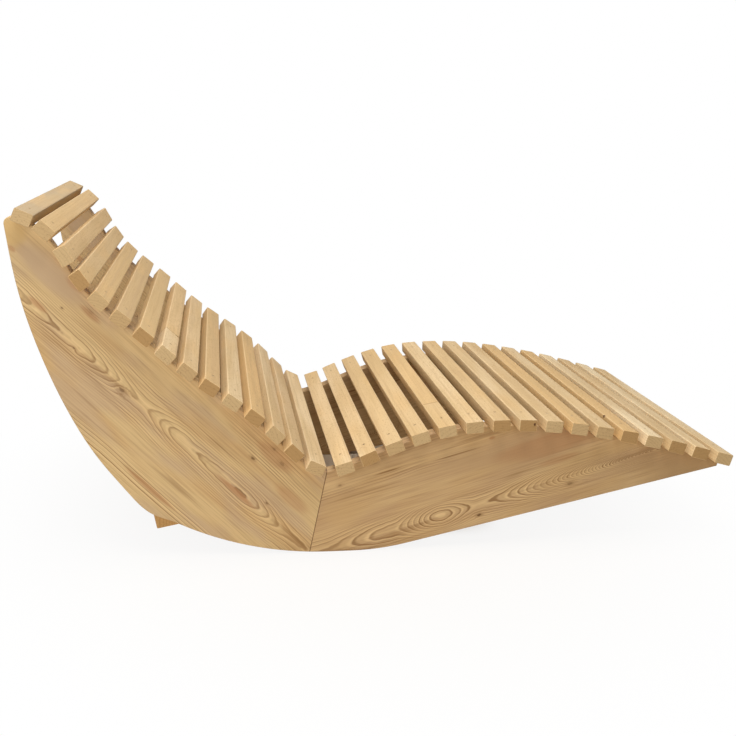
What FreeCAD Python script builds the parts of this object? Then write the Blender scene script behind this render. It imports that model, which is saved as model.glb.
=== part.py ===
"""A rocking lounger of pale wood: thirty-one cross slats screwed down on two curved side panels.

Each side panel is two boards, a back board and a leg board, that meet at a mitre under the seat.
The lower edges of the panels are the rockers, and two cross rails tie the panels together.
Lengths are millimetres. X runs from the head to the foot, Y across, and Z up from the floor.
The profile is drawn from the seat corner, where the back meets the seat, and centred at the end.
"""
import FreeCAD, Part
import math
import os
from FreeCAD import Vector

# Side panels: the shape of the profile
SEAT_CORNER_HEIGHT = 222.0      # floor to the corner between back and seat
BACK_RUN = 744.0                # seat corner to the centre of the head nose, along X
BACK_RISE = 630.0               # seat corner to the centre of the head nose, up
HEAD_NOSE_RADIUS = 16.0
HEAD_NOSE_START = 187.0         # degrees: where the nose leaves the rear edge
HEAD_NOSE_END = 69.0            # degrees: where the nose meets the seat line
BACK_CORNER_SLOPE = 18.0        # degrees: the back's seat line where it meets the corner
LEG_CORNER_SLOPE = 15.0         # degrees: the leg's seat line where it leaves the corner
TOE_SLOPE = 15.0                # degrees: the leg's seat line falling to the toe
LEG_RUN = 1058.0                # seat corner to the toe, along X
KNEE_RISE = 115.0               # seat corner to the top of the knee
TOE_THICKNESS = 20.0
BOARD_THICKNESS = 34.0
BOARD_EDGE_CHAMFER = 2.0

# Side panels: the rocker, tangent to the floor at a short settling flat
ROCKER_RADIUS = 840.0
HEEL_ANGLE = 27.0               # degrees of the rocker, before the rear edge climbs to the head
SETTLING_FLAT_START = 7.0       # seat corner to the near end of the flat
SETTLING_FLAT_LENGTH = 62.0
TOE_ARC_RADIUS = 650.0
MITRE_SET_BACK = 41.0           # how far the foot of the mitre lies behind its top

# Seat line of the back board, as shares of BACK_RUN and BACK_RISE from the seat corner
back_seat_shares = (
    (0.055, 0.025), (0.194, 0.170), (0.336, 0.306), (0.483, 0.433), (0.616, 0.571),
    (0.750, 0.707), (0.809, 0.791), (0.853, 0.880), (0.898, 0.959), (0.946, 1.001),
)
# Seat line of the leg board, as shares of LEG_RUN and KNEE_RISE from the seat corner
leg_seat_shares = (
    (0.042, 0.105), (0.100, 0.323), (0.160, 0.551), (0.222, 0.752), (0.284, 0.894),
    (0.347, 0.972), (0.411, 1.000), (0.539, 0.952), (0.666, 0.786), (0.794, 0.543),
    (0.920, 0.241), (1.000, 0.044),
)
# Rear edge of the back board, as shares of the way from the heel to the head nose
rear_edge_shares = (
    (0.177, 0.040), (0.321, 0.116), (0.503, 0.240), (0.663, 0.386), (0.836, 0.605), (0.944, 0.806),
)

# Slats
SLAT_LENGTH = 800.0
SLAT_WIDTH = 45.0
SLAT_THICKNESS = 31.0
SLAT_EDGE_ROUND = 3.0
SLAT_END_CHAMFER = 0.8
SLAT_OVERHANG = 46.0            # slat end to the outer face of the panel
BACK_SLATS = 15
LEG_SLATS = 16
BACK_FIRST_SLAT = 42.5          # seat corner to the middle of the lowest back slat
LEG_FIRST_SLAT = 46.0           # seat corner to the middle of the first leg slat
CORNER_SLAT_PITCH = 74.0        # between the two lowest back slats, which leave room at the corner
HEAD_SLAT_PITCH = 50.5          # between the two slats at the head
HEAD_MARGIN = 25.0              # middle of the head slat to the end of the seat line
TOE_MARGIN = 20.5               # middle of the last slat to the end of the seat line
HOUSING_DEPTH = 1.0             # each slat is bedded on a flat cut into the panel's edge
HOUSING_CLEARANCE = 0.2         # on each side of the slat

# Slat screws, one through each slat into each panel
SCREW_DIAMETER = 4.0
SCREW_HEAD_DIAMETER = 7.0
SCREW_HEAD_RIM = 0.5
SCREW_LENGTH = 48.0
SCREW_TIP_LENGTH = 7.0
SCREW_SUNK = 0.4                # head below the face of the slat
SCREW_CLEARANCE = 0.15          # round the shank and the head
SCREW_SOCKET_SIZE = 2.8
SCREW_SOCKET_DEPTH = 1.5

# Dowels in the mitres
MITRE_DOWEL_DIAMETER = 16.0
MITRE_DOWEL_LENGTH = 100.0
mitre_dowel_shares = (0.26, 0.51, 0.76)     # places along the mitre, from its top

# Cross rails
STOP_RAIL_WIDTH = 60.0
STOP_RAIL_HEIGHT = 80.0
STOP_RAIL_SLOPE = 11.5          # degrees: its underside rises towards the foot
STOP_RAIL_ANGLE = 28.0          # degrees round the rocker to the middle of the rail
STOP_RAIL_PROUD = 31.0          # underside of the rail below the rocker
FOOT_RAIL_WIDTH = 70.0
FOOT_RAIL_HEIGHT = 45.0
FOOT_RAIL_FROM_TOE = 290.0
FOOT_RAIL_DEPTH = 22.0          # top of the rail below the seat line
RAIL_EDGE_ROUND = 3.0

# Dowels in the ends of the rails, two at each end
stop_rail_dowel_share = 0.80    # height of the dowels in the rail, from its underside
foot_rail_dowel_share = 0.50
RAIL_DOWEL_DIAMETER = 12.0
RAIL_DOWEL_SPACING = 32.0
RAIL_DOWEL_IN_BOARD = 22.0
RAIL_DOWEL_IN_RAIL = 38.0

DOWEL_CLEARANCE = 0.15          # round a dowel in its hole
DOWEL_END_CLEARANCE = 0.5       # beyond each end of a dowel
OVERRUN = 5.0                   # how far cutting tools pass the faces that they cut
NEAR = 0.005                    # two places closer than this are the same

ACROSS = Vector(0, 1, 0)
CORNER = Vector(0, 0, SEAT_CORNER_HEIGHT)
PANEL_MIDDLE = SLAT_LENGTH / 2 - SLAT_OVERHANG - BOARD_THICKNESS / 2
PANEL_INNER_FACE = PANEL_MIDDLE - BOARD_THICKNESS / 2


def polar(centre, radius, degrees):
    """The point at this angle round a centre, in the plane of the profile."""
    angle = math.radians(degrees)
    return centre + Vector(radius * math.cos(angle), 0, radius * math.sin(angle))


def direction(degrees):
    """A unit vector in the plane of the profile."""
    return polar(Vector(), 1, degrees)


def curve_through(points, first, last):
    """A smooth curve through points, tangent to the unit vectors first and last."""
    spline = Part.BSplineCurve()
    spline.interpolate(Points=points, InitialTangent=first, FinalTangent=last, Scale=False)
    return spline


# The profile
rocker_centre = Vector(SETTLING_FLAT_START, 0, ROCKER_RADIUS)
flat_start = Vector(SETTLING_FLAT_START, 0, 0)
flat_end = Vector(SETTLING_FLAT_START + SETTLING_FLAT_LENGTH, 0, 0)
rocker_down = 270.0
heel = polar(rocker_centre, ROCKER_RADIUS, rocker_down - HEEL_ANGLE)
mitre_angle = math.degrees(math.asin((SETTLING_FLAT_START + MITRE_SET_BACK) / ROCKER_RADIUS))
mitre_foot = polar(rocker_centre, ROCKER_RADIUS, rocker_down - mitre_angle)

nose_centre = CORNER + Vector(-BACK_RUN, 0, BACK_RISE)
nose_low = polar(nose_centre, HEAD_NOSE_RADIUS, HEAD_NOSE_START)
nose_middle = polar(nose_centre, HEAD_NOSE_RADIUS, (HEAD_NOSE_START + HEAD_NOSE_END) / 2)
nose_high = polar(nose_centre, HEAD_NOSE_RADIUS, HEAD_NOSE_END)

back_seat_points = [CORNER]
for run, rise in back_seat_shares:
    back_seat_points.append(CORNER + Vector(-BACK_RUN * run, 0, BACK_RISE * rise))
back_seat_points.append(nose_high)
back_start = direction(180 - BACK_CORNER_SLOPE)
back_seat_line = curve_through(back_seat_points, back_start, direction(HEAD_NOSE_END + 90))

leg_seat_points = [CORNER]
for run, rise in leg_seat_shares:
    leg_seat_points.append(CORNER + Vector(LEG_RUN * run, 0, KNEE_RISE * rise))
leg_seat_line = curve_through(leg_seat_points, direction(LEG_CORNER_SLOPE), direction(-TOE_SLOPE))
toe_top = leg_seat_points[-1]

rear_points = [heel]
for run, rise in rear_edge_shares:
    way = nose_low - heel
    rear_points.append(heel + Vector(way.x * run, 0, way.z * rise))
rear_points.append(nose_low)
rear_edge = curve_through(rear_points, direction(180 - HEEL_ANGLE), direction(HEAD_NOSE_START - 90))


def seat_frame(curve, distance):
    """Where the seat line is at a distance along it, and its slope in degrees, foot end leading."""
    at = curve.parameterAtDistance(distance, curve.FirstParameter)
    tangent = curve.tangent(at)[0]
    if tangent.x < 0:
        tangent = -tangent
    return curve.value(at), math.degrees(math.atan2(tangent.z, tangent.x))


# The underside of the leg board runs straight from the toe arc to the toe
toe_bottom = toe_top - direction(90 - TOE_SLOPE) * TOE_THICKNESS
toe_arc_centre = flat_end + Vector(0, 0, TOE_ARC_RADIUS)
to_toe = toe_bottom - toe_arc_centre
to_toe_angle = math.degrees(math.atan2(to_toe.z, to_toe.x))
underside_turn = math.degrees(math.acos(TOE_ARC_RADIUS / to_toe.Length))
straight_start_angle = to_toe_angle - underside_turn
straight_start = polar(toe_arc_centre, TOE_ARC_RADIUS, straight_start_angle)
toe_arc_middle = polar(toe_arc_centre, TOE_ARC_RADIUS, (rocker_down - 360 + straight_start_angle) / 2)


def board(outline, mitre_ends):
    """A board of the panel's thickness, centred on Y = 0, with eased edges except at the mitre."""
    wire = Part.Wire(outline)
    face = Part.Face(wire)
    face.translate(-ACROSS * (BOARD_THICKNESS / 2))
    solid = face.extrude(ACROSS * BOARD_THICKNESS)
    eased = []
    for edge in solid.Edges:
        first, last = edge.Vertexes[0].Point, edge.Vertexes[-1].Point
        on_face = abs(first.y - last.y) < NEAR
        level = [Vector(point.x, 0, point.z) for point in (first, last)]
        at_mitre = all(min(point.distanceToPoint(end) for end in mitre_ends) < NEAR for point in level)
        if on_face and not at_mitre:
            eased.append(edge)
    return solid.makeChamfer(BOARD_EDGE_CHAMFER, eased)


def back_board():
    outline = [
        back_seat_line.toShape(),
        Part.Arc(nose_high, nose_middle, nose_low).toShape(),
        rear_edge.toShape(),
        Part.Arc(heel, polar(rocker_centre, ROCKER_RADIUS, rocker_down - (HEEL_ANGLE + mitre_angle) / 2),
                 mitre_foot).toShape(),
        Part.LineSegment(mitre_foot, CORNER).toShape(),
    ]
    return board(outline, (mitre_foot, CORNER))


def leg_board():
    outline = [
        leg_seat_line.toShape(),
        Part.LineSegment(toe_top, toe_bottom).toShape(),
        Part.LineSegment(toe_bottom, straight_start).toShape(),
        Part.Arc(straight_start, toe_arc_middle, flat_end).toShape(),
        Part.LineSegment(flat_end, flat_start).toShape(),
        Part.Arc(flat_start, polar(rocker_centre, ROCKER_RADIUS, rocker_down - mitre_angle / 2),
                 mitre_foot).toShape(),
        Part.LineSegment(mitre_foot, CORNER).toShape(),
    ]
    return board(outline, (mitre_foot, CORNER))


# The places of the slats along the seat line, from the head to the foot
def slat_places():
    back_length = back_seat_line.length()
    head = back_length - HEAD_MARGIN
    second = head - HEAD_SLAT_PITCH
    above_corner = BACK_FIRST_SLAT + CORNER_SLAT_PITCH
    pitch = (second - above_corner) / (BACK_SLATS - 3)
    distances = [head] + [second - pitch * step for step in range(BACK_SLATS - 2)] + [BACK_FIRST_SLAT]
    places = [seat_frame(back_seat_line, distance) for distance in distances]
    leg_pitch = (leg_seat_line.length() - TOE_MARGIN - LEG_FIRST_SLAT) / (LEG_SLATS - 1)
    for step in range(LEG_SLATS):
        places.append(seat_frame(leg_seat_line, LEG_FIRST_SLAT + leg_pitch * step))
    return places


def place(shape, point, slope):
    """A copy of a shape moved from the origin to a point, and turned to a slope."""
    copy = shape.copy()
    copy.Placement = FreeCAD.Placement(point, FreeCAD.Rotation(ACROSS, -slope)).multiply(shape.Placement)
    return copy


def screw_profile(grow):
    """Half of a countersunk screw, head up at the slat's face, its radii grown for a hole."""
    top = SLAT_THICKNESS - SCREW_SUNK
    head = SCREW_HEAD_DIAMETER / 2 + grow
    shank = SCREW_DIAMETER / 2 + grow
    rim = top - SCREW_HEAD_RIM
    neck = rim - (head - shank)
    tip = top - SCREW_LENGTH
    points = [
        Vector(0, 0, top),
        Vector(head, 0, top),
        Vector(head, 0, rim),
        Vector(shank, 0, neck),
        Vector(shank, 0, tip + SCREW_TIP_LENGTH),
        Vector(0, 0, tip),
        Vector(0, 0, top),
    ]
    return Part.Face(Part.makePolygon(points))


def screw():
    """A countersunk wood screw with a hexagon socket, upright in the slat."""
    body = screw_profile(0).revolve(Vector(), Vector(0, 0, 1), 360)
    top = SLAT_THICKNESS - SCREW_SUNK
    corners = []
    for step in range(7):
        angle = math.radians(60 * step)
        corner = Vector(math.cos(angle), math.sin(angle), 0) * (SCREW_SOCKET_SIZE / 2)
        corners.append(corner + Vector(0, 0, top - SCREW_SOCKET_DEPTH))
    socket = Part.Face(Part.makePolygon(corners)).extrude(Vector(0, 0, SCREW_SOCKET_DEPTH + OVERRUN))
    return body.cut(socket)


def screw_hole():
    """The space that a screw takes, with its clearance, open above the head."""
    space = screw_profile(SCREW_CLEARANCE).revolve(Vector(), Vector(0, 0, 1), 360)
    top = SLAT_THICKNESS - SCREW_SUNK
    mouth_radius = SCREW_HEAD_DIAMETER / 2 + SCREW_CLEARANCE
    mouth = Part.makeCylinder(mouth_radius, SCREW_SUNK + OVERRUN, Vector(0, 0, top))
    return space.fuse(mouth)


def slat():
    """A slat with eased edges, its underside centred on the origin, with its two screw holes."""
    corner = Vector(-SLAT_WIDTH / 2, -SLAT_LENGTH / 2, 0)
    solid = Part.makeBox(SLAT_WIDTH, SLAT_LENGTH, SLAT_THICKNESS, corner)
    long_edges = [edge for edge in solid.Edges if abs(edge.Length - SLAT_LENGTH) < NEAR]
    solid = solid.makeFillet(SLAT_EDGE_ROUND, long_edges)
    end_edges = []
    for edge in solid.Edges:
        at_end = all(abs(abs(vertex.Point.y) - SLAT_LENGTH / 2) < NEAR for vertex in edge.Vertexes)
        if at_end:
            end_edges.append(edge)
    solid = solid.makeChamfer(SLAT_END_CHAMFER, end_edges)
    for side in (-1, 1):
        hole = screw_hole()
        hole.translate(ACROSS * (side * PANEL_MIDDLE))
        solid = solid.cut(hole)
    return solid


def housing():
    """The flat that a slat is bedded on, and the slat's space above it."""
    width = SLAT_WIDTH + 2 * HOUSING_CLEARANCE
    corner = Vector(-width / 2, -BOARD_THICKNESS / 2 - OVERRUN, 0)
    return Part.makeBox(width, BOARD_THICKNESS + 2 * OVERRUN, SLAT_THICKNESS + OVERRUN, corner)


# Mitre dowels, square to the mitre and in the middle of the boards
mitre_line = mitre_foot - CORNER
mitre_square = Vector(-mitre_line.z, 0, mitre_line.x).normalize()


def mitre_dowels(diameter, length):
    pegs = []
    for share in mitre_dowel_shares:
        start = CORNER + mitre_line * share - mitre_square * (length / 2)
        pegs.append(Part.makeCylinder(diameter / 2, length, start, mitre_square))
    return pegs


# Cross rails: the middle of the underside of each, and its size
stop_rail_foot = polar(rocker_centre, ROCKER_RADIUS + STOP_RAIL_PROUD, rocker_down - STOP_RAIL_ANGLE)
foot_rail_place, foot_rail_slope = seat_frame(leg_seat_line, leg_seat_line.length() - FOOT_RAIL_FROM_TOE)
foot_rail_drop = FOOT_RAIL_DEPTH + FOOT_RAIL_HEIGHT
foot_rail_foot = foot_rail_place - direction(foot_rail_slope + 90) * foot_rail_drop
rails = {
    "stop": (stop_rail_foot, STOP_RAIL_SLOPE, STOP_RAIL_WIDTH, STOP_RAIL_HEIGHT, stop_rail_dowel_share),
    "foot": (foot_rail_foot, foot_rail_slope, FOOT_RAIL_WIDTH, FOOT_RAIL_HEIGHT, foot_rail_dowel_share),
}


def rail_dowel_centres(name):
    """The axes of the two dowels at the end of a rail, side by side, in the profile."""
    foot, slope, _, height, share = rails[name]
    middle = foot + direction(slope + 90) * (height * share)
    apart = direction(slope) * (RAIL_DOWEL_SPACING / 2)
    return [middle - apart, middle + apart]


def rail_dowels(name, side, diameter, end_clearance):
    """The dowels at one end of a rail, grown for their holes by the diameter and the clearance."""
    pegs = []
    length = RAIL_DOWEL_IN_BOARD + RAIL_DOWEL_IN_RAIL + 2 * end_clearance
    start = PANEL_INNER_FACE - RAIL_DOWEL_IN_RAIL - end_clearance
    for centre in rail_dowel_centres(name):
        end = centre + ACROSS * (side * start)
        pegs.append(Part.makeCylinder(diameter / 2, length, end, ACROSS * side))
    return pegs


def rail(name):
    """A rail between the inner faces of the panels, with eased long edges and holes for its dowels."""
    foot, slope, width, height, _ = rails[name]
    length = 2 * PANEL_INNER_FACE
    solid = Part.makeBox(width, length, height, Vector(-width / 2, -length / 2, 0))
    long_edges = [edge for edge in solid.Edges if abs(edge.Length - length) < NEAR]
    solid = place(solid.makeFillet(RAIL_EDGE_ROUND, long_edges), foot, slope)
    for side in (-1, 1):
        for peg in rail_dowels(name, side, RAIL_DOWEL_DIAMETER + 2 * DOWEL_CLEARANCE, DOWEL_END_CLEARANCE):
            solid = solid.cut(peg)
    return solid


def build():
    """Every piece by its name, with the seat corner at X = 0."""
    nodes = {}
    one_slat = slat()
    one_screw = screw()
    one_hole = screw_hole()
    one_housing = housing()
    beds = []
    for point, slope in slat_places():
        beds.append((point - direction(slope + 90) * HOUSING_DEPTH, slope))
    for number, (point, slope) in enumerate(beds, 1):
        nodes["slat_%02d" % number] = place(one_slat, point, slope)
    dowel_hole = MITRE_DOWEL_DIAMETER + 2 * DOWEL_CLEARANCE
    mitre_holes = mitre_dowels(dowel_hole, MITRE_DOWEL_LENGTH + 2 * DOWEL_END_CLEARANCE)
    rail_hole = RAIL_DOWEL_DIAMETER + 2 * DOWEL_CLEARANCE
    for part_name, rail_name, blank, own in (("back_board", "stop", back_board(), beds[:BACK_SLATS]),
                                             ("leg_board", "foot", leg_board(), beds[BACK_SLATS:])):
        for point, slope in own:
            blank = blank.cut(place(one_housing, point, slope))
            blank = blank.cut(place(one_hole, point, slope))
        for hole in mitre_holes:
            blank = blank.cut(hole)
        for side_name, side in (("right", -1), ("left", 1)):
            shape = blank.copy()
            shape.translate(ACROSS * (side * PANEL_MIDDLE))
            for hole in rail_dowels(rail_name, side, rail_hole, DOWEL_END_CLEARANCE):
                shape = shape.cut(hole)
            nodes["%s_%s" % (side_name, part_name)] = shape
    for side_name, side in (("right", -1), ("left", 1)):
        pegs = Part.makeCompound(mitre_dowels(MITRE_DOWEL_DIAMETER, MITRE_DOWEL_LENGTH))
        pegs.translate(ACROSS * (side * PANEL_MIDDLE))
        nodes["%s_mitre_dowels" % side_name] = pegs
        for group, own in (("back", beds[:BACK_SLATS]), ("leg", beds[BACK_SLATS:])):
            screws = []
            for point, slope in own:
                piece = place(one_screw, point, slope)
                piece.translate(ACROSS * (side * PANEL_MIDDLE))
                screws.append(piece)
            nodes["%s_%s_slat_screws" % (side_name, group)] = Part.makeCompound(screws)
    for rail_name in rails:
        nodes["%s_rail" % rail_name] = rail(rail_name)
        pegs = []
        for side in (-1, 1):
            pegs += rail_dowels(rail_name, side, RAIL_DOWEL_DIAMETER, 0)
        nodes["%s_rail_dowels" % rail_name] = Part.makeCompound(pegs)
    return nodes


pieces = build()
middle_x = Part.makeCompound(list(pieces.values())).optimalBoundingBox(False).Center.x
os.makedirs("parts", exist_ok=True)
for name, shape in pieces.items():
    shape.translate(Vector(-middle_x, 0, 0))
    shape.exportStep("parts/%s.step" % name)

size = Part.makeCompound(list(pieces.values())).optimalBoundingBox(False)
print("nodes", len(pieces), "box", round(size.XLength, 1), round(size.YLength, 1), round(size.ZLength, 1))
print("lowest", round(size.ZMin, 3), "x from", round(size.XMin, 1), "to", round(size.XMax, 1))
wooden = [shape for name, shape in pieces.items() if "screw" not in name]
volume = sum(shape.Volume for shape in wooden)
balance = sum(solid.Volume * solid.CenterOfMass.x for shape in wooden for solid in shape.Solids) / volume
flat_middle = SETTLING_FLAT_START + SETTLING_FLAT_LENGTH / 2 - middle_x
print("balance x", round(balance, 1), "flat x", round(flat_middle, 1), "seat corner x", round(-middle_x, 2))
for name, shape in pieces.items():
    if not shape.isValid():
        print("not valid:", name)
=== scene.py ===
"""The looks of a rocking lounger of pale softwood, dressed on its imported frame.

The sections follow the way the lounger is put together: side panels, cross rails, dowels, slats
and screws, then the studio and the camera. Lengths are metres, +X to the foot, +Z up.
"""
import math
import random

import bmesh
import bpy
from mathutils import Matrix, Vector


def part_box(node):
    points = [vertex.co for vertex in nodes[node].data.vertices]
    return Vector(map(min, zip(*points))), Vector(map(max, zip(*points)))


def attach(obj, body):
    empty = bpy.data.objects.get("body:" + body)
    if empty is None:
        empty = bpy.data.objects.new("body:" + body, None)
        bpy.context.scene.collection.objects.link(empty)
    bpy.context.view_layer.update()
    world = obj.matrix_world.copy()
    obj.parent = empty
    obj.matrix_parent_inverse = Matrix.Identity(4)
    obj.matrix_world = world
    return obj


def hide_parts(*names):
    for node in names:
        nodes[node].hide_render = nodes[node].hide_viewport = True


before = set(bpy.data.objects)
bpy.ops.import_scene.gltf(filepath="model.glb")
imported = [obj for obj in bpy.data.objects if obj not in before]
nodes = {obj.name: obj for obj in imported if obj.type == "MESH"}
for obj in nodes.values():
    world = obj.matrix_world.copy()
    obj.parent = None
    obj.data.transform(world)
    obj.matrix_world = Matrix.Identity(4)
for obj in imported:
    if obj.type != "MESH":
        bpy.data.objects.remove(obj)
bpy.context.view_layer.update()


# Side panels
# Each panel is two planed softwood boards, a back board and a leg board, glued and dowelled at a
# mitre under the seat. The boards are flat-sawn: bands of fine latewood lines with long pointed
# figures on the back board, and nested ovals that turn to chevrons on the leg board.

def colour(red, green, blue):
    """A shader colour from the red, green and blue that a picture of it shows, 0 to 255."""
    def linear(level):
        share = level / 255
        return share / 12.92 if share <= 0.04045 else ((share + 0.055) / 1.055) ** 2.4
    return (linear(red), linear(green), linear(blue), 1.0)


def feed(tree, socket, value):
    """Sets an input to a value, or links it where the value is another node's output."""
    if isinstance(value, bpy.types.NodeSocket):
        tree.links.new(value, socket)
    else:
        socket.default_value = value


def put(tree, kind, values=None, **settings):
    """A shader node with its settings, whose named or numbered inputs are values or links."""
    node = tree.nodes.new(kind)
    for name, value in settings.items():
        setattr(node, name, value)
    for name, value in (values or {}).items():
        feed(tree, node.inputs[name], value)
    return node


def sum_of(tree, operation, *values):
    """The result of a Math node with an operation, on values or links."""
    return put(tree, "ShaderNodeMath", dict(enumerate(values)), operation=operation).outputs[0]


def ramp(tree, value, low, high, to_low=0.0, to_high=1.0):
    """A smooth step of a value, from to_low at low to to_high at high."""
    step = put(tree, "ShaderNodeMapRange", {"Value": value, "From Min": low, "From Max": high,
                                            "To Min": to_low, "To Max": to_high},
               interpolation_type="SMOOTHSTEP")
    return step.outputs["Result"]


MIX_FIRST, MIX_SECOND, MIX_RESULT = 6, 7, 2     # the colour sockets of a Mix node


def blend(tree, share, first, second):
    """A colour between two colours or links, at a share from 0 to 1 of the second."""
    node = put(tree, "ShaderNodeMix", {"Factor": share}, data_type="RGBA")
    feed(tree, node.inputs[MIX_FIRST], first)
    feed(tree, node.inputs[MIX_SECOND], second)
    return node.outputs[MIX_RESULT]


def coat(tree, under, tone, level, starts, full, most=1.0):
    """A tone laid over a colour where a level passes from starts to full, at a share up to most."""
    return blend(tree, ramp(tree, level, starts, full, 0.0, most), under, tone)


def glaze(tree, under, tone, share, most):
    """A tone laid over a colour at a share that is scaled down to the most it may have."""
    return blend(tree, sum_of(tree, "MULTIPLY", share, most), under, tone)


NOISE_ROUGHNESS = 0.55


def noise(tree, place, scale, waves, detail):
    """Noise from 0 to 1 with a number of waves per metre, times a scale, along each axis."""
    spread = put(tree, "ShaderNodeVectorMath", {0: place, 1: waves}, operation="MULTIPLY")
    return put(tree, "ShaderNodeTexNoise", {"Vector": spread.outputs[0], "Scale": scale, "Detail": detail,
                                            "Roughness": NOISE_ROUGHNESS}).outputs["Fac"]


def shader_group(name, inputs, outputs):
    """An empty node group with named sockets: its tree, its inputs and its output node."""
    tree = bpy.data.node_groups.new(name, "ShaderNodeTree")
    for socket, kind, default in inputs:
        made = tree.interface.new_socket(socket, in_out="INPUT", socket_type=kind)
        if default is not None:
            made.default_value = default
    for socket, kind in outputs:
        tree.interface.new_socket(socket, in_out="OUTPUT", socket_type=kind)
    return tree, tree.nodes.new("NodeGroupInput").outputs, tree.nodes.new("NodeGroupOutput")


def use(tree, group, values):
    """The outputs of a node group that is placed in a material and fed with values or links."""
    node = tree.nodes.new("ShaderNodeGroup")
    node.node_tree = group
    for name, value in values.items():
        feed(tree, node.inputs[name], value)
    return node.outputs


def empty_material(name):
    """A new material without nodes, and its node tree."""
    material = bpy.data.materials.new(name)
    material.use_nodes = True
    material.node_tree.nodes.clear()
    return material, material.node_tree


# Waves per metre along, through and across the board, and the parts of a year that a ring's late
# and early wood take. A part that is given backwards is one where the wood fades out.
WANDER_WAVES = (4.0, 3.0, 5.0)
SWAY_WAVES = (9.0, 6.0, 16.0)
RIPPLE_WAVES = (48.0, 20.0, 60.0)
SWAY_SHARE = 0.35
BUNDLES_PER_RING = 0.21
BUNDLE_EDGES = (0.38, 0.6)
LATE_GROWS = (0.58, 0.86)
LATE_STOPS = (1.0, 0.93)
EARLY_GROWS = (0.0, 0.08)
EARLY_STOPS = (0.4, 0.12)
FAINTEST_RING = 0.5


def growth_rings():
    """Growth rings round a pith that lies at a depth under the board, beside the grain's axis, X.

    Where the pith rises towards the face the rings open out, and where it sinks they close to a point.
    Rings is how many are passed while the distance from the pith grows 2.7 times. Z is across the board.
    Plain is how strong the weak bundles of rings are.
    """
    tree, given, result = shader_group(
        "growth rings",
        [("Place", "NodeSocketVector", None), ("Depth", "NodeSocketFloat", 0.05),
         ("Rings", "NodeSocketFloat", 13.0), ("Wander", "NodeSocketFloat", 0.01),
         ("Ripple", "NodeSocketFloat", 0.001), ("Push", "NodeSocketFloat", 0.0),
         ("Plain", "NodeSocketFloat", 0.6)],
        [("Late", "NodeSocketFloat"), ("Early", "NodeSocketFloat")])
    place = given["Place"]
    axes = put(tree, "ShaderNodeSeparateXYZ", {0: place}).outputs
    slow = noise(tree, place, 1.0, WANDER_WAVES, 1.0)
    other = noise(tree, place, 1.0, SWAY_WAVES, 2.0)
    fine = noise(tree, place, 1.0, RIPPLE_WAVES, 1.0)
    across = sum_of(tree, "MULTIPLY_ADD", sum_of(tree, "SUBTRACT", slow, 0.5), given["Wander"], axes["Z"])
    through = sum_of(tree, "ADD", axes["Y"], sum_of(tree, "ADD", given["Depth"], given["Push"]))
    through = sum_of(tree, "MULTIPLY_ADD", sum_of(tree, "SUBTRACT", other, 0.5),
                     sum_of(tree, "MULTIPLY", given["Wander"], SWAY_SHARE), through)
    reach = sum_of(tree, "SQRT", sum_of(tree, "ADD", sum_of(tree, "MULTIPLY", across, across),
                                        sum_of(tree, "MULTIPLY", through, through)))
    reach = sum_of(tree, "MULTIPLY_ADD", sum_of(tree, "SUBTRACT", fine, 0.5), given["Ripple"], reach)
    ring = sum_of(tree, "MULTIPLY", sum_of(tree, "LOGARITHM", reach, math.e), given["Rings"])
    year = sum_of(tree, "FRACT", ring)
    season = put(tree, "ShaderNodeTexWhiteNoise", {"W": sum_of(tree, "FLOOR", ring)},
                 noise_dimensions="1D").outputs["Value"]
    bundle = put(tree, "ShaderNodeTexNoise", {"W": sum_of(tree, "MULTIPLY", ring, BUNDLES_PER_RING),
                                              "Scale": 1.0, "Detail": 1.0}, noise_dimensions="1D")
    strength = ramp(tree, bundle.outputs["Fac"], *BUNDLE_EDGES, given["Plain"], 1.0)
    strength = sum_of(tree, "MULTIPLY", ramp(tree, season, 0.0, 1.0, FAINTEST_RING, 1.0), strength)
    for socket, grows, stops in (("Late", LATE_GROWS, LATE_STOPS), ("Early", EARLY_GROWS, EARLY_STOPS)):
        wood = sum_of(tree, "MULTIPLY", ramp(tree, year, *grows), ramp(tree, year, *stops))
        tree.links.new(sum_of(tree, "MULTIPLY", wood, strength), result.inputs[socket])
    return tree


FLECK_SHAPE = (0.55, 1.0, 1.0)      # a fleck is nearly twice as long as it is wide


def fibres():
    """The fine grain of sawn or planed wood along X: streaks, broad bands, flecks and clouds of colour.

    Each is a noise, given as its scale, its waves along, through and across the wood, and its detail.
    """
    tree, given, result = shader_group(
        "fibres", [("Place", "NodeSocketVector", None), ("Fleck Size", "NodeSocketFloat", 0.003)],
        [("Streak", "NodeSocketFloat"), ("Band", "NodeSocketFloat"), ("Fleck", "NodeSocketFloat"),
         ("Cloud", "NodeSocketFloat"), ("Haze", "NodeSocketFloat")])
    flecks_per_metre = sum_of(tree, "DIVIDE", 1.0, given["Fleck Size"])
    for socket, scale, waves, detail in (("Streak", 1.0, (6.0, 240.0, 240.0), 3.0),
                                         ("Band", 1.0, (3.0, 20.0, 48.0), 2.0),
                                         ("Fleck", flecks_per_metre, FLECK_SHAPE, 1.0),
                                         ("Cloud", 1.0, (2.5, 9.0, 16.0), 1.5),
                                         ("Haze", 1.0, (4.5, 11.0, 14.0), 1.5)):
        tree.links.new(noise(tree, given["Place"], scale, waves, detail), result.inputs[socket])
    return tree


KNOT_SHAPE = (0.5, 0.25, 1.0)       # a knot is twice as long along the grain and runs through the board
KNOT_WAVES = (160.0, 160.0, 160.0)
KNOT_WAVER = 0.9
KNOT_CORE = (1.1, 0.4)              # in radii of the knot, from none to full
KNOT_HALO = (2.6, 0.9)
KNOT_SWELL = (4.0, 0.0)
KNOT_PUSH = 0.6                     # of its radius, the most that a knot pushes the rings aside


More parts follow.
